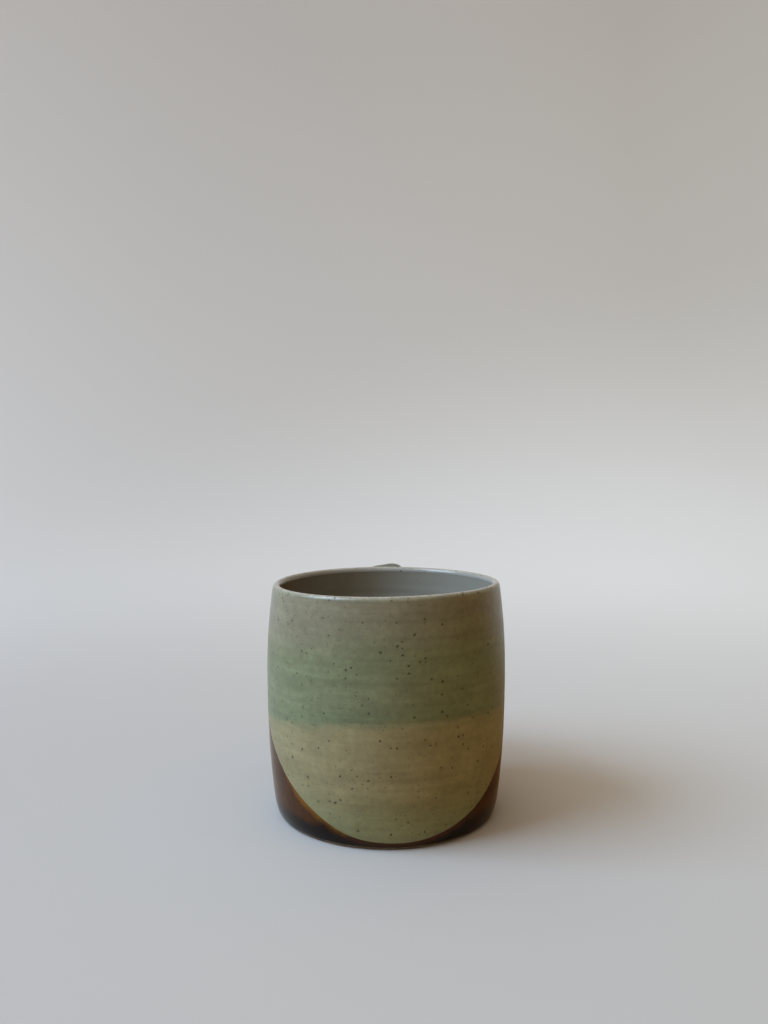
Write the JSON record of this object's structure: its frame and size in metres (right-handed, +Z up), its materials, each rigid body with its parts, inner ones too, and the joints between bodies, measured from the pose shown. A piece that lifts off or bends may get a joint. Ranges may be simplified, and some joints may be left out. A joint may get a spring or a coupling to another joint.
{
  "type": "mug",
  "caption": "Thrown stoneware mug with a gently bellied wall, thin rounded lip, pulled strap handle and dipped speckled glazes, for a hot drink.",
  "frame": {"origin": "on the cup's axis, in the plane of the flat foot that the mug stands on", "axes": "+Z up along the cup's axis, the handle towards +Y, the front with the cream glaze towards -Y, +X to the right seen from the front"},
  "size_m": [0.085, 0.1171, 0.0823],
  "materials": {
    "stoneware_clay": "bare fired stoneware, speckled with iron",
    "joining_slip": "bare fired slip, under the glaze",
    "liner_glaze": "glossy pale grey liner glaze",
    "celadon_glaze": "satin grey-green speckled glaze",
    "cream_glaze": "satin cream speckled glaze",
    "brown_glaze": "glossy amber-brown iron glaze"
  },
  "bodies": {
    "root": {"clay_body": "stoneware_clay", "handle_strap": "stoneware_clay", "upper_slip_joint": "joining_slip", "lower_slip_joint": "joining_slip", "liner_glaze": "liner_glaze", "celadon_glaze": "celadon_glaze", "cream_glaze": "cream_glaze", "brown_glaze": "brown_glaze", "handle_celadon_glaze": "celadon_glaze", "handle_brown_glaze": "brown_glaze"}
  },
  "joints": []
}
